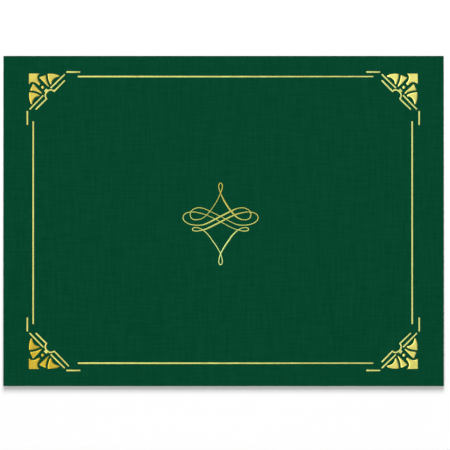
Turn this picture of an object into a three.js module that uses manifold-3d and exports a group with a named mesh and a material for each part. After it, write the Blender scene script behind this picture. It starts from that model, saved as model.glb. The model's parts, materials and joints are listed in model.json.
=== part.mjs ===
// A diploma cover: one sheet of green linen card, scored and folded once, with a frame and a
// penman's flourish stamped on its front in gold foil. Millimetres, +Z up. The cover lies on its
// back panel with its front facing up and its fold along +Y. The origin is under its centre.
import * as THREE from "three";
import { mergeVertices } from "three/addons/utils/BufferGeometryUtils.js";
import Module from "manifold-3d";

// The folded card.
const COVER_W = 304.8; // along X
const COVER_H = 228.6; // along Y, from the fold to the open edge
const CARD = 0.35; // thickness of the card
const FOLD_GAP = 0.3; // space that the fold keeps between the panels of the shut cover
const AJAR_DEG = 1.2; // how far the fold springs open when nothing presses on the cover

// The slits in the back panel, which hold the corners of a certificate.
const SHEET_MARGIN_X = 12.7; // from a side edge of the cover to the certificate
const SHEET_MARGIN_Y = 6.35; // from the fold or the open edge to the certificate
const SLIT_SETBACK = 15.6; // from the certificate's corner to the slit, along the diagonal
const SLIT_L = 36;
const SLIT_W = 0.4;

// The gold foil.
const FOIL = 0.05; // thickness
const FOIL_LIFT = 0.01; // the foil stands this far off the card, so that it never cuts into it
const FOIL_FLATNESS = 0.002; // a point this near a straight edge is left out of the foil's outline
const FRAME_INSET_X = 17.9; // from a side edge of the cover to the corner ornaments
const FRAME_INSET_Y = 12.1; // from the fold or the open edge to the corner ornaments
const FRAME_SHIFT = -0.15; // the frame sits this far off the middle, along X and along Y
const LINE = 0.95; // width of every straight line, rule and dash
const FLOURISH_X = -2; // middle of the flourish
const FLOURISH_Y = -2;
const FLOURISH_W = 52; // across the pen line's middle, between its outermost loops
const FLOURISH_H = 56.7; // along the flourish's mirror line, from top to bottom
const PEN_FULL_W = 0.98; // pen widths of the flourish: on its full strokes
const PEN_TURN_W = 0.58; // where it turns
const PEN_HAIR_W = 0.44; // and on its hairlines

// Half the shut cover's thickness. It is the height of the plane that the two panels meet in,
// and the outer radius of the fold.
const MID = CARD + FOLD_GAP / 2;
const FACE_Z = 2 * MID; // height of the front face when the cover is shut
const FOLD_Y = COVER_H / 2 - MID; // where the fold starts to curve
const CURVE_STEPS = 6;

const wasm = await Module();
wasm.setup();

function toSolid(geometry) {
  const bare = geometry.clone();
  bare.deleteAttribute("normal");
  bare.deleteAttribute("uv");
  const merged = mergeVertices(bare, 1e-4);
  return new wasm.Manifold(
    new wasm.Mesh({
      numProp: 3,
      vertProperties: merged.attributes.position.array,
      triVerts: new Uint32Array(merged.index.array),
    }),
  );
}

function toGeometry(solid) {
  const made = solid.getMesh();
  return new THREE.BufferGeometry()
    .setAttribute("position", new THREE.BufferAttribute(made.vertProperties, 3))
    .setIndex(new THREE.BufferAttribute(made.triVerts, 1));
}

function makeMesh(name, geometry, material) {
  const mesh = new THREE.Mesh(geometry, material);
  mesh.name = name;
  return mesh;
}

// The card

function cardMaterial() {
  return new THREE.MeshStandardMaterial({ color: 0x09472e, roughness: 0.85 });
}

// One panel with its half of the fold, drawn in the YZ plane and extruded along X.
// `side` is 1 for the front panel, above the middle plane, and -1 for the back one.
function panel(side) {
  const section = [];
  section.push(new THREE.Vector2(-COVER_H / 2, MID + side * MID));
  for (let i = 0; i <= CURVE_STEPS; i++) {
    const a = (Math.PI / 2) * (1 - i / CURVE_STEPS);
    section.push(new THREE.Vector2(FOLD_Y + MID * Math.cos(a), MID + side * MID * Math.sin(a)));
  }
  for (let i = 0; i <= CURVE_STEPS; i++) {
    const a = (Math.PI / 2) * (i / CURVE_STEPS);
    const r = FOLD_GAP / 2;
    section.push(new THREE.Vector2(FOLD_Y + r * Math.cos(a), MID + side * r * Math.sin(a)));
  }
  section.push(new THREE.Vector2(-COVER_H / 2, MID + (side * FOLD_GAP) / 2));
  const geometry = new THREE.ExtrudeGeometry(new THREE.Shape(section), {
    depth: COVER_W,
    bevelEnabled: false,
  });
  const along = new THREE.Matrix4().makeBasis(
    new THREE.Vector3(0, 1, 0),
    new THREE.Vector3(0, 0, 1),
    new THREE.Vector3(1, 0, 0),
  );
  return geometry.applyMatrix4(along).translate(-COVER_W / 2, 0, 0);
}

// The back panel is cut through by one diagonal slit for each corner of the certificate.
function slittedPanel() {
  let solid = toSolid(panel(-1));
  for (const sx of [-1, 1]) {
    for (const sy of [-1, 1]) {
      const inward = SLIT_SETBACK * Math.SQRT1_2;
      const slit = new THREE.BoxGeometry(SLIT_L, SLIT_W, 4 * CARD)
        .rotateZ((-sx * sy * Math.PI) / 4)
        .translate(
          sx * (COVER_W / 2 - SHEET_MARGIN_X - inward),
          sy * (COVER_H / 2 - SHEET_MARGIN_Y - inward),
          0,
        );
      solid = solid.subtract(toSolid(slit));
    }
  }
  return toGeometry(solid);
}

// The foil

function foilMaterial() {
  return new THREE.MeshStandardMaterial({ color: 0xe6c653, roughness: 0.3, metalness: 1 });
}

// One piece of foil on the front face, joined from one or more flat outlines.
function foil(name, outlines) {
  const solids = outlines.map((points) => {
    const shape = new THREE.Shape(points);
    const plate = new THREE.ExtrudeGeometry(shape, { depth: FOIL, bevelEnabled: false });
    return toSolid(plate.translate(0, 0, FACE_Z + FOIL_LIFT));
  });
  const joined = solids.reduce((whole, next) => whole.add(next)).simplify(FOIL_FLATNESS);
  return makeMesh("foil_" + name, toGeometry(joined), foilMaterial());
}

// The points of a path. A step of two numbers goes straight to that point; a step of four
// curves through its first point to its second.
function trace(steps) {
  const points = [];
  for (const step of steps) {
    const end = new THREE.Vector2(...step.slice(-2));
    if (step.length === 4) {
      const start = points.at(-1);
      const through = new THREE.Vector2(step[0], step[1]);
      const chordMiddle = start.clone().add(end).multiplyScalar(0.5);
      const pull = through.multiplyScalar(2).sub(chordMiddle);
      const curve = new THREE.QuadraticBezierCurve(start, pull, end);
      points.push(...curve.getPoints(CURVE_STEPS).slice(1, -1));
    }
    points.push(end);
  }
  return points;
}

// The left and right sides of a line drawn with a pen, mitred where it turns. Each point of the
// line is a Vector3 that holds x, y and the pen's width there.
function penSides(line, closed) {
  const n = line.length;
  const left = [];
  const right = [];
  const normal = (a, b) => {
    const length = Math.hypot(b.x - a.x, b.y - a.y);
    return new THREE.Vector2((a.y - b.y) / length, (b.x - a.x) / length);
  };
  for (let i = 0; i < n; i++) {
    const before = closed || i > 0 ? normal(line[(i + n - 1) % n], line[i]) : null;
    const after = closed || i < n - 1 ? normal(line[i], line[(i + 1) % n]) : null;
    const a = before || after;
    const b = after || before;
    const reach = line[i].z / 2 / (1 + a.dot(b));
    const offset = a.clone().add(b).multiplyScalar(reach);
    left.push(new THREE.Vector2(line[i].x + offset.x, line[i].y + offset.y));
    right.push(new THREE.Vector2(line[i].x - offset.x, line[i].y - offset.y));
  }
  return { left, right };
}

// The outline of an open line of one width.
function stroke(points, width) {
  const line = points.map((p) => new THREE.Vector3(p.x, p.y, width));
  const { left, right } = penSides(line, false);
  return [...left, ...right.reverse()];
}

// The corner ornament, in millimetres from the frame's corner: u runs inward along X and v
// inward along Y. It is a fan about the corner's diagonal, so most pieces are drawn once and
// mirrored by swapping u and v.
const KEYSTONE = [[0, 0], [7.2, 0], [5.9, 3.1, 8, 6.95], [6.95, 8], [3.1, 5.9, 0, 7.2]];
const DOT = { at: 9.5, radius: 0.97, sides: 20 };
const INNER_PETAL = [[7.1, 2.75], [11.6, 0.8], [12.2, 4.9, 13.85, 8.6], [13.4, 9]];
const OUTER_PETAL = [
  [13, 0.2],
  [17.6, 0.35, 21.1, 1.45],
  [21.1, 2.1],
  [17, 3.8, 15.6, 7.3],
  [14.8, 7.3],
  [13.55, 4.1, 13, 0.25],
];
const OUTER_LINE = [[15, 10], [24.8, 0.5]];
const INNER_LINE = [[24.8, 4.7], [17.5, 12.2], [14.9, 11.3, 12.6, 12.6]];
const DIAMOND = [[10.4, 12], [12, 10.4], [13.6, 12], [12, 13.6]];
const DASH = [[25.9, -1.1], [35.5, -1.1]];
const RUN_ON = 4; // on the bottom left the inner line runs on this far past the other corners'

// `runOn` draws out the end of the inner line that points along X.
function cornerOrnament(label, sx, sy, runOn = 0) {
  const cornerX = FRAME_SHIFT + sx * (COVER_W / 2 - FRAME_INSET_X);
  const cornerY = FRAME_SHIFT + sy * (COVER_H / 2 - FRAME_INSET_Y);
  const place = (p) => new THREE.Vector2(cornerX - sx * p.x, cornerY - sy * p.y);
  const swap = (p) => new THREE.Vector2(p.y, p.x);
  const dot = [];
  for (let i = 0; i < DOT.sides; i++) {
    const a = (2 * Math.PI * i) / DOT.sides;
    const x = DOT.at + DOT.radius * Math.cos(a);
    dot.push(new THREE.Vector2(x, DOT.at + DOT.radius * Math.sin(a)));
  }
  const inner = trace(INNER_LINE);
  const longer = inner.map((p) => p.clone());
  longer[0].add(inner[0].clone().sub(inner[1]).setLength(runOn));
  const pieces = [
    foil(label + "_keystone", [trace(KEYSTONE).map(place)]),
    foil(label + "_dot", [dot.map(place)]),
    foil(label + "_inner_line", [
      stroke(longer.map(place), LINE),
      stroke(inner.map(swap).map(place), LINE),
      trace(DIAMOND).map(place),
    ]),
  ];
  for (const [half, turn] of [["a", (p) => p], ["b", swap]]) {
    const laid = (steps) => trace(steps).map(turn).map(place);
    pieces.push(foil(label + "_inner_petal_" + half, [laid(INNER_PETAL)]));
    pieces.push(foil(label + "_outer_petal_" + half, [laid(OUTER_PETAL)]));
    pieces.push(foil(label + "_outer_line_" + half, [stroke(laid(OUTER_LINE), LINE)]));
    pieces.push(foil(label + "_dash_" + half, [stroke(laid(DASH), LINE)]));
  }
  return pieces;
}

// The long rules between the corners. `inset` is how far a rule lies inside the frame, and
// `start` and `end` are how far it stops short of the frame's corners.
const RULES = {
  top: { inset: 2.05, start: 33.85, end: 30.65 },
  bottom: { inset: 3.95, start: 33.85, end: 30.65 },
  left: { inset: 2.95, start: 31.05, end: 33.05 },
  right: { inset: 3.75, start: 31.05, end: 33.05 },
};

function longRule(side) {
  const { inset, start, end } = RULES[side];
  const halfW = COVER_W / 2 - FRAME_INSET_X;
  const halfH = COVER_H / 2 - FRAME_INSET_Y;
  const points = [];
  if (side === "top" || side === "bottom") {
    const y = FRAME_SHIFT + (side === "top" ? 1 : -1) * (halfH - inset);
    points.push(new THREE.Vector2(FRAME_SHIFT - halfW + start, y));
    points.push(new THREE.Vector2(FRAME_SHIFT + halfW - end, y));
  } else {
    const x = FRAME_SHIFT + (side === "right" ? 1 : -1) * (halfW - inset);
    points.push(new THREE.Vector2(x, FRAME_SHIFT - halfH + start));
    points.push(new THREE.Vector2(x, FRAME_SHIFT + halfH - end));
  }
  return foil("rule_" + side, [stroke(points, LINE)]);
}

// The flourish is one endless pen line, a mirror image of itself about its upright middle. These
// points run down one half of it, as shares of its half width and half height. The letters are
// the pen's width as this half is drawn and then as its mirror image is drawn:
// F on a full stroke, H on a hairline, L on a loop, M between a loop and a full stroke.
const HALF_FLOURISH = [
  [0, 1, "LL"], [-0.034, 0.977, "LL"], [-0.05, 0.91, "LL"], [0.004, 0.744, "LL"], [0.115, 0.533, "FH"],
  [0.302, 0.287, "FH"], [0.469, 0.142, "MH"], [0.588, 0.104, "LL"], [0.706, 0.104, "LL"],
  [0.782, 0.145, "LL"], [0.808, 0.225, "LL"], [0.79, 0.294, "LL"], [0.722, 0.356, "LL"],
  [0.607, 0.391, "LL"], [0.454, 0.377, "LL"], [0.302, 0.318, "FH"], [0.013, 0.187, "FH"],
  [-0.324, 0.026, "FH"], [-0.462, -0.023, "ML"], [-0.595, -0.035, "LL"],
  [-0.748, -0.023, "LL"], [-0.882, 0.017, "LL"], [-0.977, 0.087, "LL"], [-1, 0.156, "LL"],
  [-0.969, 0.225, "LL"], [-0.893, 0.27, "LL"], [-0.798, 0.285, "LL"], [-0.679, 0.287, "LL"],
  [-0.58, 0.27, "LL"], [-0.427, 0.234, "HM"], [-0.225, 0.154, "HF"], [0.046, 0.026, "HF"],
  [0.317, -0.099, "HF"], [0.435, -0.142, "HM"], [0.538, -0.165, "LL"], [0.655, -0.178, "LL"],
  [0.733, -0.16, "LL"], [0.75, -0.125, "LL"], [0.712, -0.095, "LL"], [0.615, -0.095, "LL"],
  [0.523, -0.121, "LL"], [0.435, -0.173, "ML"], [0.317, -0.28, "FL"], [0.218, -0.405, "FL"],
  [0.115, -0.54, "FL"], [0, -0.734, "ML"], [-0.044, -0.879, "LL"], [-0.047, -0.94, "LL"],
  [-0.031, -0.985, "LL"], [0, -1, "LL"],
];
const FLOURISH_SAMPLES = 400;
const FLOURISH_RUNS = 40; // short enough that no run crosses itself

function flourish() {
  const pen = { F: PEN_FULL_W, M: (PEN_FULL_W + PEN_TURN_W) / 2, L: PEN_TURN_W, H: PEN_HAIR_W };
  const knot = ([x, y, widths], mirror) =>
    new THREE.Vector3(
      FLOURISH_X + (mirror ? -x : x) * (FLOURISH_W / 2),
      FLOURISH_Y + y * (FLOURISH_H / 2),
      pen[widths[mirror ? 1 : 0]],
    );
  const down = HALF_FLOURISH.map((k) => knot(k, false));
  const up = HALF_FLOURISH.slice(1, -1).reverse().map((k) => knot(k, true));
  const line = new THREE.CatmullRomCurve3([...down, ...up], true);
  const samples = line.getSpacedPoints(FLOURISH_SAMPLES).slice(0, -1);
  const { left, right } = penSides(samples, true);
  const runs = [];
  const step = FLOURISH_SAMPLES / FLOURISH_RUNS;
  for (let first = 0; first < FLOURISH_SAMPLES; first += step) {
    const span = Array.from({ length: step + 1 }, (_, i) => (first + i) % FLOURISH_SAMPLES);
    runs.push([...span.map((i) => left[i]), ...span.reverse().map((i) => right[i])]);
  }
  return foil("flourish", runs);
}

// The whole cover. The front panel and its foil turn about the outermost line of the fold.
const cover = new THREE.Group();
cover.add(makeMesh("back_cover", slittedPanel(), cardMaterial()));

const front = new THREE.Group();
front.add(makeMesh("front_cover", panel(1), cardMaterial()));
front.add(...["top", "bottom", "left", "right"].map(longRule));
front.add(...cornerOrnament("top_left", -1, 1));
front.add(...cornerOrnament("top_right", 1, 1));
front.add(...cornerOrnament("bottom_left", -1, -1, RUN_ON));
front.add(...cornerOrnament("bottom_right", 1, -1));
front.add(flourish());
front.position.set(0, -COVER_H / 2, -MID);

const hinge = new THREE.Group();
hinge.position.set(0, COVER_H / 2, MID);
hinge.rotation.x = THREE.MathUtils.degToRad(-AJAR_DEG);
hinge.add(front);
cover.add(hinge);

export default cover;
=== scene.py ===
# %% [markdown]
# A folded diploma cover: one sheet of linen-embossed card, scored and folded once, with a frame
# and a penman's flourish stamped on the front in gold foil. It lies on a white table with its
# front a little ajar, and the camera looks straight down on it. The CAD frame fixes every size.
# This script gives the card and the foil their looks.

# %% Load the CAD frame and keep its box
import json
import math

import bmesh
import bpy
from mathutils import Matrix, Vector


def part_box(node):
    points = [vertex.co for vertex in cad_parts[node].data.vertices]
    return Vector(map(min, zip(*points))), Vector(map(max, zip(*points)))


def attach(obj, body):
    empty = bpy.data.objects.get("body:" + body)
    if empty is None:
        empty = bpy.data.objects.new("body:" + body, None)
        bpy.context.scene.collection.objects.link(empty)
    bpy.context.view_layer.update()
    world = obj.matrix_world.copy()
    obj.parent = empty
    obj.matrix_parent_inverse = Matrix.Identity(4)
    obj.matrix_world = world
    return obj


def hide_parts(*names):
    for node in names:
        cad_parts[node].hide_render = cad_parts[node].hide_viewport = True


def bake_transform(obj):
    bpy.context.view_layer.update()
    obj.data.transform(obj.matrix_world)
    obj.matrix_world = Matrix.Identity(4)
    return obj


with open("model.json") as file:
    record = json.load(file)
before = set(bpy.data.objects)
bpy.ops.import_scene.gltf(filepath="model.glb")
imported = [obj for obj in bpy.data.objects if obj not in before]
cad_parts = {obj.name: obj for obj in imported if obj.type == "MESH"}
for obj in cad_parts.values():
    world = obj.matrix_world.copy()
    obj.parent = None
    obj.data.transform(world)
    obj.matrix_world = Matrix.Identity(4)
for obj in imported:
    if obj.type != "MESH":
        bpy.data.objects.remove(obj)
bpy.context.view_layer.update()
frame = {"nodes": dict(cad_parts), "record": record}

# %% [markdown]
# Colours are easiest to read as the hex values that a paint shop would use, but the sockets of
# a node hold linear light. One function turns the first into the second. Another adds a shader
# or geometry node with its settings and its links, so that each material reads as a short list
# of steps. A third starts an empty material for those nodes.

# %% Helpers: colours, nodes and materials


def linear(hex_colour):
    """An sRGB hex colour, such as "#09472E", as the linear RGBA that sockets hold."""
    parts = [int(hex_colour[i : i + 2], 16) / 255 for i in (1, 3, 5)]
    red, green, blue = (p / 12.92 if p <= 0.04045 else ((p + 0.055) / 1.055) ** 2.4 for p in parts)
    return (red, green, blue, 1.0)


def add_node(tree, kind, inputs=(), **settings):
    """Add a node. `inputs` maps a socket to a value, or to the socket that is linked to it."""
    node = tree.nodes.new(kind)
    for name, value in settings.items():
        setattr(node, name, value)
    for key, value in dict(inputs).items():
        if isinstance(value, bpy.types.NodeSocket):
            tree.links.new(value, node.inputs[key])
        else:
            node.inputs[key].default_value = value
    return node


def new_material(name):
    """An empty node material and its tree."""
    material = bpy.data.materials.new(name)
    material.use_nodes = True
    material.node_tree.nodes.clear()
    return material, material.node_tree


print("helpers ready")

# %% [markdown]
# The card is 250 gram cover card, dyed through in dark green and embossed with a linen
# pattern: irregular raised threads in both directions, with longer slubs here and there. The
# emboss could be modelled as real relief, but it is a few hundredths of a millimetre deep, so
# a bump does it better. The pattern has to follow the card round its fold and stay put when
# the cover opens, so it reads an attribute that holds each point's place on the unfolded
# sheet, in metres, instead of its place in space.

# %% Linen-embossed card
MM = 0.001
FLAT = "flat_place"  # the attribute that holds a point's place on the unfolded sheet

# Threads of such an emboss are about 0.55 mm apart. That is under one pixel of the render, so
# the slubs, which are what shows in a photograph, are drawn 1.3 mm wide.
THREAD_MM = (0.55, 6.0)  # across and along
SLUB_MM = (1.3, 16.0)
SLUB_HEIGHT = 0.8  # a thread's height is 1
SLUB_RANGE = (0.7, 1.3)  # what the two layers of slubs nearly always add up to
NOISE_START = 5.0
NOISE_STEP = (17.3, 9.1, 3.7)  # noise cells from layer to layer, so that no two look alike


def linen_height(tree):
    """Two sockets: the linen's height, and its slubs alone, which average 1."""
    place = add_node(tree, "ShaderNodeAttribute", attribute_name=FLAT).outputs["Vector"]
    threads = []
    for across, along in (THREAD_MM, SLUB_MM):
        for turn in (0, 1):
            pitch = (across, along) if turn == 0 else (along, across)
            shift = (
                NOISE_STEP[0] * turn + NOISE_START,
                NOISE_STEP[1] * turn,
                NOISE_STEP[2] * len(threads),
            )
            scaled = add_node(
                tree,
                "ShaderNodeVectorMath",
                {0: place, 1: (1 / (pitch[0] * MM), 1 / (pitch[1] * MM), 0)},
                operation="MULTIPLY",
            )
            moved = add_node(
                tree, "ShaderNodeVectorMath", {0: scaled.outputs[0], 1: shift}, operation="ADD"
            )
            noise = add_node(
                tree,
                "ShaderNodeTexNoise",
                {"Vector": moved.outputs[0], "Scale": 1.0, "Detail": 1.0, "Roughness": 0.5},
                noise_dimensions="3D",
            )
            threads.append(noise.outputs["Fac"])
    fine = add_node(tree, "ShaderNodeMath", {0: threads[0], 1: threads[1]}, operation="ADD")
    slub = add_node(tree, "ShaderNodeMath", {0: threads[2], 1: threads[3]}, operation="ADD")
    both = add_node(
        tree,
        "ShaderNodeMath",
        {0: slub.outputs[0], 1: SLUB_HEIGHT, 2: fine.outputs[0]},
        operation="MULTIPLY_ADD",
    )
    return both.outputs[0], slub.outputs[0]


def linen_card():
    """Dyed cover card with a linen emboss: dull, deep green, with pale and dark slubs."""
    material, tree = new_material("linen_embossed_green_card")
    height, slub = linen_height(tree)
    tone = add_node(
        tree,
        "ShaderNodeMapRange",
        {"Value": slub, "From Min": SLUB_RANGE[0], "From Max": SLUB_RANGE[1]},
    )
    colour = add_node(
        tree,
        "ShaderNodeMix",
        {0: tone.outputs[0], 6: linear("#05412A"), 7: linear("#09482F")},
        data_type="RGBA",
    )
    bump = add_node(
        tree, "ShaderNodeBump", {"Height": height, "Strength": 0.25, "Distance": 0.06 * MM}
    )
    card = add_node(
        tree,
        "ShaderNodeBsdfPrincipled",
        {
            "Base Color": colour.outputs[2],
            "Normal": bump.outputs[0],
            "Roughness": 0.72,
            "IOR": 1.5,
            "Specular IOR Level": 0.04,
        },
    )
    add_node(tree, "ShaderNodeOutputMaterial", {"Surface": card.outputs[0]})
    return material


card_material = linen_card()
print("made", card_material.name)

# %% [markdown]
# Where the card is cut, its edge shows the bare fibres of the pulp. They are the same green,
# because the pulp is dyed, but paler and quite matt, since nothing has pressed them smooth.

# %% Cut edges of the card
FIBRE = 0.25 * MM  # length of the bits of pulp that show


def cut_edge():
    """The cut edge of dyed card: fibrous and a little paler than its face."""
    material, tree = new_material("cut_edge_of_dyed_card")
    place = add_node(tree, "ShaderNodeTexCoord").outputs["Object"]
    fibres = add_node(
        tree, "ShaderNodeTexNoise", {"Vector": place, "Scale": 1 / FIBRE, "Detail": 2.0}
    )
    colour = add_node(
        tree,
        "ShaderNodeMix",
        {0: fibres.outputs["Fac"], 6: linear("#0B4A31"), 7: linear("#2A6B50")},
        data_type="RGBA",
    )
    edge = add_node(
        tree,
        "ShaderNodeBsdfPrincipled",
        {"Base Color": colour.outputs[2], "Roughness": 0.95, "Specular IOR Level": 0.04},
    )
    add_node(tree, "ShaderNodeOutputMaterial", {"Surface": edge.outputs[0]})
    return material


edge_material = cut_edge()
print("made", edge_material.name)

# %% [markdown]
# The CAD model has the sheet as two panels, one for each side of the hinge. The real thing is
# one piece of card that bends at its score. So the sheet is drawn here as one closed skin: its
# section in the YZ plane runs up the outside, round the fold and back along the inside, and is
# swept from the left edge to the right. The front stands 1.2 degrees open, as in the CAD.

# %% The folded sheet as one piece
back_low, back_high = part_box("back_cover")
CARD = 0.35 * MM
HALF_W = back_high[0]
HALF_H = back_high[1]
MIDDLE = back_high[2]  # height of the plane between the panels, and the fold's outer radius
FOLD_GAP = 2 * (MIDDLE - CARD)
FOLD_START = HALF_H - MIDDLE
hinge = frame["record"]["behaviour"]["joints"][0]
AJAR = math.radians(-hinge["range_deg"][0])
FOLD_STEPS = 12
FOLD_LENGTH = math.pi * (MIDDLE + FOLD_GAP / 2) / 2  # round it, at the card's mid-thickness
print("panel", 2 * HALF_W, "x", 2 * HALF_H, "m, fold gap", round(FOLD_GAP, 6), "m")


def stand_open(y, z, share):
    """Turn a point about the fold's outermost line by a share of the ajar angle."""
    angle = AJAR * share
    dy, dz = y - HALF_H, z - MIDDLE
    return (
        HALF_H + dy * math.cos(angle) + dz * math.sin(angle),
        MIDDLE - dy * math.sin(angle) + dz * math.cos(angle),
    )


def section_points():
    """The sheet's section as (y, z) points, round the outside and back along the inside."""
    points = []
    for radius, order in ((MIDDLE, 1), (FOLD_GAP / 2, -1)):
        path = [(-HALF_H, MIDDLE - radius, 0.0)]
        for i in range(FOLD_STEPS + 1):
            share = i / FOLD_STEPS
            a = math.pi * (share - 0.5)
            path.append((FOLD_START + radius * math.cos(a), MIDDLE + radius * math.sin(a), share))
        path.append((-HALF_H, MIDDLE + radius, 1.0))
        points += [stand_open(y, z, share) for y, z, share in path[::order]]
    return points


def sheet_mesh():
    """The closed skin of the folded sheet."""
    section = section_points()
    count = len(section)
    verts = [(x, y, z) for x in (-HALF_W, HALF_W) for y, z in section]
    faces = [(i, (i + 1) % count, count + (i + 1) % count, count + i) for i in range(count)]
    half = count // 2
    for i in range(half - 1):
        ring = (i, count - 1 - i, count - 2 - i, i + 1)
        faces.append(ring)
        faces.append(tuple(count + v for v in reversed(ring)))
    mesh = bpy.data.meshes.new("card_sheet")
    mesh.from_pydata(verts, [], faces)
    mesh.update()
    return mesh


sheet = bpy.data.objects.new("card_sheet", sheet_mesh())
bpy.context.collection.objects.link(sheet)
print("sheet skin:", len(sheet.data.vertices), "points,", len(sheet.data.polygons), "faces")

# %% [markdown]
# Four short diagonal slits are die-cut through the back panel, one for each corner of the
# certificate that the cover holds. The same cut at four corners is a job for Geometry Nodes:
# a two by two grid of points, a thin blade on each, turned one way or the other by the sign of
# x times y, and one boolean that cuts them all out of the sheet.

# %% Die-cut corner slits
SHEET_MARGIN_X = 12.7 * MM  # from the cover's side edges to the certificate
SHEET_MARGIN_Y = 6.35 * MM  # from the fold and the open edge to the certificate
SLIT_SETBACK = 15.6 * MM  # from the certificate's corner, along the diagonal
SLIT_LENGTH = 36 * MM
SLIT_WIDTH = 0.4 * MM
BLADE_HEIGHT = 2.6 * CARD  # half of it is over the table, enough for one panel and not for two
inward = SLIT_SETBACK * math.sqrt(0.5)


def slit_tree():
    """Geometry Nodes: cut one diagonal slit near each corner of the back panel."""
    tree = bpy.data.node_groups.new("corner_slits", "GeometryNodeTree")
    tree.interface.new_socket("Geometry", in_out="INPUT", socket_type="NodeSocketGeometry")
    for name in ("Across", "Up", "Slit length", "Slit width", "Blade height"):
        tree.interface.new_socket(name, in_out="INPUT", socket_type="NodeSocketFloat")
    tree.interface.new_socket("Material", in_out="INPUT", socket_type="NodeSocketMaterial")
    tree.interface.new_socket("Geometry", in_out="OUTPUT", socket_type="NodeSocketGeometry")
    given = add_node(tree, "NodeGroupInput").outputs
    corners = add_node(
        tree,
        "GeometryNodeMeshGrid",
        {"Size X": given["Across"], "Size Y": given["Up"], "Vertices X": 2, "Vertices Y": 2},
    )
    position = add_node(tree, "GeometryNodeInputPosition").outputs[0]
    place = add_node(tree, "ShaderNodeSeparateXYZ", {0: position}).outputs
    product = add_node(tree, "ShaderNodeMath", {0: place[0], 1: place[1]}, operation="MULTIPLY")
    side = add_node(tree, "ShaderNodeMath", {0: product.outputs[0]}, operation="SIGN")
    turn = add_node(
        tree, "ShaderNodeMath", {0: side.outputs[0], 1: -math.pi / 4}, operation="MULTIPLY"
    )
    turned = add_node(tree, "ShaderNodeCombineXYZ", {"Z": turn.outputs[0]})
    blade_size = add_node(
        tree,
        "ShaderNodeCombineXYZ",
        {"X": given["Slit length"], "Y": given["Slit width"], "Z": given["Blade height"]},
    )
    blade = add_node(tree, "GeometryNodeMeshCube", {"Size": blade_size.outputs[0]})
    blades = add_node(
        tree,
        "GeometryNodeInstanceOnPoints",
        {"Points": corners.outputs[0], "Instance": blade.outputs[0], "Rotation": turned.outputs[0]},
    )
    real = add_node(tree, "GeometryNodeRealizeInstances", {0: blades.outputs[0]})
    cut = add_node(tree, "GeometryNodeMeshBoolean", operation="DIFFERENCE", solver="EXACT")
    tree.links.new(given["Geometry"], cut.inputs["Mesh 1"])
    tree.links.new(real.outputs[0], cut.inputs["Mesh 2"])
    finished = add_node(
        tree, "GeometryNodeSetMaterial", {"Geometry": cut.outputs[0], "Material": given["Material"]}
    )
    add_node(tree, "NodeGroupOutput", {0: finished.outputs[0]})
    return tree


slits = sheet.modifiers.new("corner_slits", "NODES")
slits.node_group = slit_tree()
slit_values = {
    "Across": 2 * (HALF_W - SHEET_MARGIN_X - inward),
    "Up": 2 * (HALF_H - SHEET_MARGIN_Y - inward),
    "Slit length": SLIT_LENGTH,
    "Slit width": SLIT_WIDTH,
    "Blade height": BLADE_HEIGHT,
    "Material": card_material,
}
for item in slits.node_group.interface.items_tree:
    if item.in_out == "INPUT" and item.name in slit_values:
        slits[item.identifier] = slit_values[item.name]

evaluated_sheet = sheet.evaluated_get(bpy.context.evaluated_depsgraph_get())
cut_sheet = bpy.data.meshes.new_from_object(evaluated_sheet)
sheet.modifiers.remove(slits)
sheet.data = cut_sheet
cut_sheet.name = "card_sheet"
print("after the slits:", len(cut_sheet.vertices), "points,", len(cut_sheet.polygons), "faces")

# %% [markdown]
# The linen reads each point's place on the unfolded sheet. The boolean has made new points along
# the slits, so the places are worked out after it, from where each point now is. The walls of
# the slits and the three cut sides of each panel get the cut-edge finish.

# %% Places on the flat sheet, and the cut edges
SQUARE = 0.1  # a unit normal has less than this along a direction that its face runs with


def flat_place(point):
    """A point's place on the unfolded sheet, in metres."""
    x, y, z = point
    dy, dz = y - HALF_H, z - MIDDLE
    lifted = math.atan2(dz, -dy) if dy else 0.0
    if lifted > AJAR / 2 and z > MIDDLE:
        y = HALF_H + dy * math.cos(AJAR) - dz * math.sin(AJAR)
    if y > FOLD_START:
        share = 0.5 + math.atan2(z - MIDDLE, y - FOLD_START) / math.pi
        return (x, HALF_H + FOLD_START + FOLD_LENGTH * share, 0)
    if z > MIDDLE + FOLD_GAP / 4:
        return (x, HALF_H + FOLD_START + FOLD_LENGTH + FOLD_START - y, 0)
    return (x, HALF_H + y, 0)


def finish_sheet(mesh):
    """Store the flat places, and give each cut face the edge material."""
    flat = mesh.attributes.new(FLAT, "FLOAT_VECTOR", "POINT")
    for vertex in mesh.vertices:
        flat.data[vertex.index].vector = flat_place(vertex.co)
    mesh.materials.clear()
    mesh.materials.append(card_material)
    mesh.materials.append(edge_material)
    cut_faces = 0
    for face in mesh.polygons:
        in_fold = face.center.y > FOLD_START and abs(face.normal.x) < SQUARE
        is_cut = abs(face.normal.z) < SQUARE and not in_fold
        face.material_index = int(is_cut)
        cut_faces += is_cut
        face.use_smooth = in_fold
    return cut_faces


print("cut faces:", finish_sheet(sheet.data))
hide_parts("back_cover", "front_cover")
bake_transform(sheet)

# %% [markdown]
# The gold is hot-stamped foil: aluminium a few hundredths of a micron thick under a yellow
# lacquer, pressed into the card with a heated die. It mirrors softly, because the linen below
# still shows through it as tiny dents, and it is a little wavy, as pressed card is. It is a
# metal in the shader. Its colour follows its place on the cover as a painted reflection: a deep
# gold at the left that gets paler to the right, and down the flourish, with broad patches of
# tone that differ at random on top. Fine lines look paler and greener in a photograph than broad
# shapes of the same foil, because the lens blurs them into the card. So the thin lines and the
# pen line get colours of their own.

# %% Hot-stamped gold foil
PATCH = 60 * MM  # how wide a patch of one tone is
WAVE = 7 * MM  # from one wave of the pressed card to the next
DENT = 0.9 * MM  # between the dents of the linen, drawn coarser than its threads to show


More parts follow.
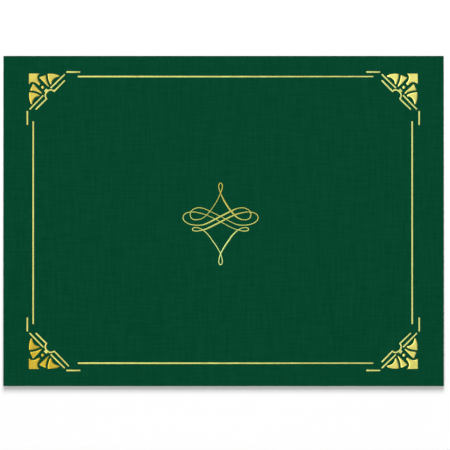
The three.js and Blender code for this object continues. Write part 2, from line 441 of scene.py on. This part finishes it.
def gold_foil(name, deep_gold, pale_gold, reflection_paler_per_mm):
    """Hot-stamped foil: a soft yellow mirror, wavy, and dented by the linen under it, with a
    painted reflection that makes its colour paler one way across the cover.
    """
    material, tree = new_material(name)
    place = add_node(tree, "ShaderNodeTexCoord").outputs["Object"]
    # painted reflection: the foil's colour pales steadily along this way across the cover, as a
    # reflection of the room would
    per_metre = (reflection_paler_per_mm[0] / MM, reflection_paler_per_mm[1] / MM, 0)
    along = add_node(
        tree, "ShaderNodeVectorMath", {0: place, 1: per_metre}, operation="DOT_PRODUCT"
    )
    drift = add_node(
        tree, "ShaderNodeTexNoise", {"Vector": place, "Scale": 1 / PATCH, "Detail": 1.0}
    )
    tone = add_node(
        tree,
        "ShaderNodeMath",
        {0: along.outputs["Value"], 1: drift.outputs["Fac"]},
        operation="ADD",
    )
    share = add_node(
        tree, "ShaderNodeMapRange", {"Value": tone.outputs[0], "From Min": 0.05, "From Max": 0.95}
    )
    colour = add_node(
        tree,
        "ShaderNodeMix",
        {0: share.outputs[0], 6: linear(deep_gold), 7: linear(pale_gold)},
        data_type="RGBA",
    )
    waves = add_node(
        tree, "ShaderNodeTexNoise", {"Vector": place, "Scale": 1 / WAVE, "Detail": 0.0}
    )
    wavy = add_node(
        tree,
        "ShaderNodeBump",
        {"Height": waves.outputs["Fac"], "Strength": 1.0, "Distance": 0.14 * MM},
    )
    dents = add_node(
        tree, "ShaderNodeTexNoise", {"Vector": place, "Scale": 1 / DENT, "Detail": 2.0}
    )
    bump = add_node(
        tree,
        "ShaderNodeBump",
        {
            "Height": dents.outputs["Fac"],
            "Normal": wavy.outputs[0],
            "Strength": 0.2,
            "Distance": 0.05 * MM,
        },
    )
    foil = add_node(
        tree,
        "ShaderNodeBsdfPrincipled",
        {
            "Base Color": colour.outputs[2],
            "Normal": bump.outputs[0],
            "Metallic": 1.0,
            "Roughness": 0.27,
        },
    )
    add_node(tree, "ShaderNodeOutputMaterial", {"Surface": foil.outputs[0]})
    return material


# Painted reflection: how much paler the foil gets for each millimetre to the right and up, from
# deep at 0 to pale at 1
painted_reflection_to_the_right = (0.0028, 0.001)
painted_reflection_to_the_bottom = (0, -0.014)
broad_foil = gold_foil("hot_stamped_gold_foil", "#C8AE37", "#E2DD7A", painted_reflection_to_the_right)
rule_foil = gold_foil("hot_stamped_gold_foil_in_rules", "#D3D273", "#D0D87E", painted_reflection_to_the_right)
pen_foil = gold_foil("hot_stamped_gold_foil_in_pen_lines", "#BFB54B", "#BED884", painted_reflection_to_the_bottom)
print("made", broad_foil.name, rule_foil.name, pen_foil.name)

# %% [markdown]
# The die leaves no sharp rim. It rounds the foil's edge down into the card, and that shoulder
# is what glints along one side of each shape and darkens along the other. The CAD shapes are
# flat plates with square rims, so each is copied, its top is inset twice, and the outer rings
# are let down towards the card. Broad shapes get a wide shoulder, and thin lines a narrow one.
#
# A plain inset turns over where it is wider than the shape, so a broad shape's outline is moved
# in by a function that first tests how much room there is. The flourish has holes and crossings,
# so its top stays in triangles. The points inside it are taken out and the triangles are evened
# out first, so that hardly any of them turns over when its rim moves in.

# %% Moving an outline in
FACE_UP = Vector((0, math.sin(AJAR), math.cos(AJAR)))  # out of the front's face, as it lies ajar
RIM_STEP = 0.25 * MM  # how close together an outline is tested
ROOM_TRIES = (1.4, 1.2, 1.0, 0.8, 0.6, 0.45, 0.3, 0.2, 0.1)  # shares of the width, largest first
CLEAR = 0.97  # share of a disc's radius that has to be free of the rim
ROOM_USED = 0.7  # share of the room that a point moves by
LONGEST_WAY = 2.0  # the furthest that a sharp corner's point moves, in widths
CORNER_WAY = 1.15  # a point that moves further than this, in widths, is at a corner


def moved_in(outline, width):
    """A closed outline's points, moved in by `width`, or by less where the shape is narrow."""
    rim = []
    for a, b in zip(outline, outline[1:] + outline[:1]):
        steps = math.ceil((b - a).length / RIM_STEP)
        rim += [a.lerp(b, i / steps) for i in range(steps)]
    reaches, ways = [], []
    for i, point in enumerate(outline):
        left, right = i - 1, i + 1 - len(outline)  # an index below 0 counts from the end
        while (outline[left] - point).length < RIM_STEP:  # too near to show a direction
            left -= 1
        while (outline[right] - point).length < RIM_STEP:
            right += 1
        from_left = FACE_UP.cross(point - outline[left]).normalized()
        from_right = FACE_UP.cross(outline[right] - point).normalized()
        way = (from_left + from_right).normalized()
        way /= max(way.dot(from_left), 1 / LONGEST_WAY)  # so that it clears both sides alike
        for share in ROOM_TRIES:
            centre = point + way * width * share
            if min((other - centre).length for other in rim) > CLEAR * width * share:
                break
        reaches.append(min(ROOM_USED * share, 1.0) * width)
        ways.append(way)
    places = []
    for i, point in enumerate(outline):
        least = min(reaches[i - 1], reaches[i], reaches[(i + 1) % len(outline)])
        places.append(point + ways[i] * (least if ways[i].length > CORNER_WAY else reaches[i]))
    return places


print("an outline is tested every", RIM_STEP, "m")

# %% Rounding the shoulders of a plate
FOIL = 0.05 * MM
BROAD = (0.4 * MM, 0.35 * MM)  # widths of a shoulder's outer and inner ring
NARROW = (0.09 * MM, 0.1 * MM)
DROPS = (0.86 * FOIL, 0.26 * FOIL)  # how far the outer side of each ring is let down
FACING = 0.9  # a unit normal has more than this along a direction that its face looks to


def top_faces(shape):
    """The faces of a plate that look out of the cover's front."""
    return [face for face in shape.faces if face.normal.dot(FACE_UP) > FACING]


def round_shoulders(shape, widths):
    """Inset a plate's top twice, and let its outer rings down towards the card."""
    top = top_faces(shape)
    if widths is BROAD:  # no holes, so one face can span it
        top = bmesh.ops.dissolve_faces(shape, faces=top)["region"]
    else:
        inside = [vert for vert in shape.verts if all(face in top for face in vert.link_faces)]
        bmesh.ops.dissolve_verts(shape, verts=inside)
        top = bmesh.ops.triangulate(shape, faces=top_faces(shape))["faces"]
        shared = [edge for edge in shape.edges if all(face in top for face in edge.link_faces)]
        bmesh.ops.beautify_fill(shape, faces=top, edges=shared)
        top = top_faces(shape)
    for width, drop in zip(widths, DROPS):
        thickness = 0.0 if widths is BROAD else width
        ring = bmesh.ops.inset_region(
            shape, faces=top, thickness=thickness, use_boundary=True, use_even_offset=False
        )["faces"]
        inner = {vert for face in top for vert in face.verts}
        if widths is BROAD:
            corners = top[0].verts[:]
            for vert, place in zip(corners, moved_in([vert.co.copy() for vert in corners], width)):
                vert.co = place
        for face in ring:
            face.smooth = True
            for edge in face.edges:
                for wall in edge.link_faces:
                    wall.smooth = abs(wall.normal.dot(FACE_UP)) < SQUARE or wall.smooth
        for vert in {vert for face in ring for vert in face.verts} - inner:
            vert.co -= FACE_UP * drop


print("shoulders", sum(BROAD), "m wide on broad shapes and", sum(NARROW), "m on thin ones")

# %% [markdown]
# Each ornament is one piece: the copies of its CAD plates, rounded and joined. It rides on the
# front panel, and each of its shapes keeps the finish of its kind.

# %% Foil pieces
SAME_POINT = 0.005 * MM  # points nearer than this are merged
THIN = ("line", "rule", "dash")  # words in the names of the thin straight shapes


def finish_of(node):
    """The foil's look on this CAD node."""
    if "flourish" in node:
        return pen_foil
    return rule_foil if any(word in node for word in THIN) else broad_foil


def foil_piece(name, nodes):
    """One piece of foil made from copies of these CAD nodes, which it replaces."""
    mesh = bpy.data.meshes.new(name)
    joined = bmesh.new()
    finishes = []
    for node in nodes:
        shape = bmesh.new()
        shape.from_mesh(frame["nodes"][node].data)
        bmesh.ops.remove_doubles(shape, verts=shape.verts, dist=SAME_POINT)
        finish = finish_of(node)
        if finish not in finishes:
            finishes.append(finish)
            mesh.materials.append(finish)
        round_shoulders(shape, BROAD if finish is broad_foil else NARROW)
        for face in shape.faces:
            face.material_index = finishes.index(finish)
        shape.to_mesh(mesh)
        joined.from_mesh(mesh)
        shape.free()
    joined.to_mesh(mesh)
    joined.free()
    piece = bpy.data.objects.new(name, mesh)
    bpy.context.collection.objects.link(piece)
    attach(piece, "front")
    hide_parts(*nodes)
    print(name, "from", len(nodes), "shapes,", len(mesh.polygons), "faces")


foil_nodes = sorted(name for name in frame["nodes"] if name.startswith("foil_"))
for group in ("rule", "flourish", "top_left", "top_right", "bottom_left", "bottom_right"):
    members = [name for name in foil_nodes if name.startswith("foil_" + group)]
    foil_piece("gold_" + group, members)

# %% [markdown]
# The photograph is taken from straight above, and the sides of the cover stay parallel although
# its open edge stands a few millimetres nearer. So the camera looks down from fourteen metres
# with a very long lens. One pixel of the 450-pixel picture is then 0.692 mm on the cover.

# %% Camera
PICTURE = 450  # pixels across
COVER_CENTRE = (-1.41, 3.97)  # pixels to the right of the picture's centre, and above it
PIXEL = 0.6921 * MM
LENS_MM = 1600.0
SENSOR_MM = 36.0
FACE_HEIGHT = 3.4 * MM  # of the front panel's middle
camera_data = bpy.data.cameras.new("camera")
camera_data.lens = LENS_MM
camera_data.sensor_width = SENSOR_MM
camera = bpy.data.objects.new("camera", camera_data)
bpy.context.collection.objects.link(camera)
camera.location = (
    -COVER_CENTRE[0] * PIXEL,
    -COVER_CENTRE[1] * PIXEL,
    FACE_HEIGHT + PICTURE * PIXEL * LENS_MM / SENSOR_MM,
)
bpy.context.scene.camera = camera
print("camera height", round(camera.location.z, 3), "m")

# %% [markdown]
# The table is white paper, and in the photograph it is a full white up to the picture's edges.
# Lamps that are bright enough for that would make the card too pale, so the paper also glows a
# little, for the camera only.

# %% Table
WHITE = (1, 1, 1, 1)
BOUNCED_WHITE = (0.8, 0.8, 0.8, 1)
GLOW = 0.06  # lifts the table to a full white for the camera
TABLE_REACH = 8  # metres from the middle to each side


def white_table():
    """A matt white table. It is pure white to the camera and a little darker to bounced light."""
    material, tree = new_material("white_paper_table")
    to_camera = add_node(tree, "ShaderNodeLightPath").outputs["Is Camera Ray"]
    colour = add_node(
        tree, "ShaderNodeMix", {0: to_camera, 6: BOUNCED_WHITE, 7: WHITE}, data_type="RGBA"
    )
    paper = add_node(tree, "ShaderNodeBsdfDiffuse", {"Color": colour.outputs[2]})
    lift = add_node(tree, "ShaderNodeMath", {0: to_camera, 1: GLOW}, operation="MULTIPLY")
    glow = add_node(tree, "ShaderNodeEmission", {"Strength": lift.outputs[0]})
    both = add_node(tree, "ShaderNodeAddShader", {0: paper.outputs[0], 1: glow.outputs[0]})
    add_node(tree, "ShaderNodeOutputMaterial", {"Surface": both.outputs[0]})
    return material


sides = ((-1, -1), (1, -1), (1, 1), (-1, 1))
floor_corners = [(x * TABLE_REACH, y * TABLE_REACH, 0) for x, y in sides]
floor_mesh = bpy.data.meshes.new("table")
floor_mesh.from_pydata(floor_corners, [], [(0, 1, 2, 3)])
floor_mesh.materials.append(white_table())
floor = bpy.data.objects.new("table", floor_mesh)
bpy.context.collection.objects.link(floor)
print("table", 2 * TABLE_REACH, "m wide")

# %% [markdown]
# The light comes from beyond the fold, so the only shadow lies along the open edge, which
# stands a few millimetres up. A small lamp overhead fills that shadow.

# %% Lamps


def add_lamp(name, place, size, share):
    """An area lamp aimed at the cover, bright enough to give `share` of a full white."""
    data = bpy.data.lights.new(name, "AREA")
    data.shape = "RECTANGLE"
    data.size, data.size_y = size
    away = Vector(place)
    distance = away.length
    radiance = share * math.pi * distance**2 / (size[0] * size[1] * away.z / distance)
    data.energy = radiance * math.pi * size[0] * size[1]
    lamp = bpy.data.objects.new(name, data)
    bpy.context.collection.objects.link(lamp)
    lamp.matrix_world = Matrix.Translation(away) @ away.to_track_quat("Z", "Y").to_matrix().to_4x4()
    lamp.visible_camera = False
    lamp.visible_glossy = False  # the foil mirrors the world only
    print(name, "radiance", round(radiance, 2), "power", round(data.energy, 2), "W")


add_lamp("key_beyond_the_fold", place=(0, 2.0, 3.46), size=(1.3, 2.2), share=0.59)
add_lamp("fill_overhead", place=(0, -0.4, 4.0), size=(0.7, 0.7), share=0.35)

# %% [markdown]
# Metal shows what is around it, so the world is white for reflections and dim for everything
# else. The white is stronger to the left, as from a wall of panels there, so the shoulders of
# the foil shine on their left and darken on their right.

# %% World
TO_THE_WALLS = (-5.0, 1.0, 0)  # the brighter way, far to the left and a little beyond the fold
FADE = (-0.6, 1.2)  # along that way, from where the world is dark to where it is bright
MIRRORED = (0.4, 2.2)  # what the foil sees of it at those two places
AMBIENT = 0.06  # its strength for everything that isn't a mirror

world = bpy.data.worlds.new("studio")
world.use_nodes = True
bpy.context.scene.world = world
sky = world.node_tree
sky.nodes.clear()
path = add_node(sky, "ShaderNodeLightPath")
mirrored = add_node(
    sky,
    "ShaderNodeMath",
    {0: path.outputs["Is Glossy Ray"], 1: path.outputs["Is Transmission Ray"]},
    operation="MAXIMUM",
)
direction = add_node(sky, "ShaderNodeTexCoord").outputs["Generated"]
slope = add_node(
    sky, "ShaderNodeVectorMath", {0: direction, 1: TO_THE_WALLS}, operation="DOT_PRODUCT"
)
walls = add_node(
    sky,
    "ShaderNodeMapRange",
    {
        "Value": slope.outputs["Value"],
        "From Min": FADE[0],
        "From Max": FADE[1],
        "To Min": MIRRORED[0],
        "To Max": MIRRORED[1],
    },
)
bounced = add_node(sky, "ShaderNodeMix", {0: mirrored.outputs[0], 2: AMBIENT, 3: walls.outputs[0]})
strength = add_node(
    sky, "ShaderNodeMix", {0: path.outputs["Is Camera Ray"], 2: bounced.outputs[0], 3: 1.0}
)
background = add_node(
    sky, "ShaderNodeBackground", {"Color": WHITE, "Strength": strength.outputs[0]}
)
add_node(sky, "ShaderNodeOutputWorld", {"Surface": background.outputs[0]})
bpy.context.scene.view_settings.view_transform = "Standard"
print("world", world.name, "ready")
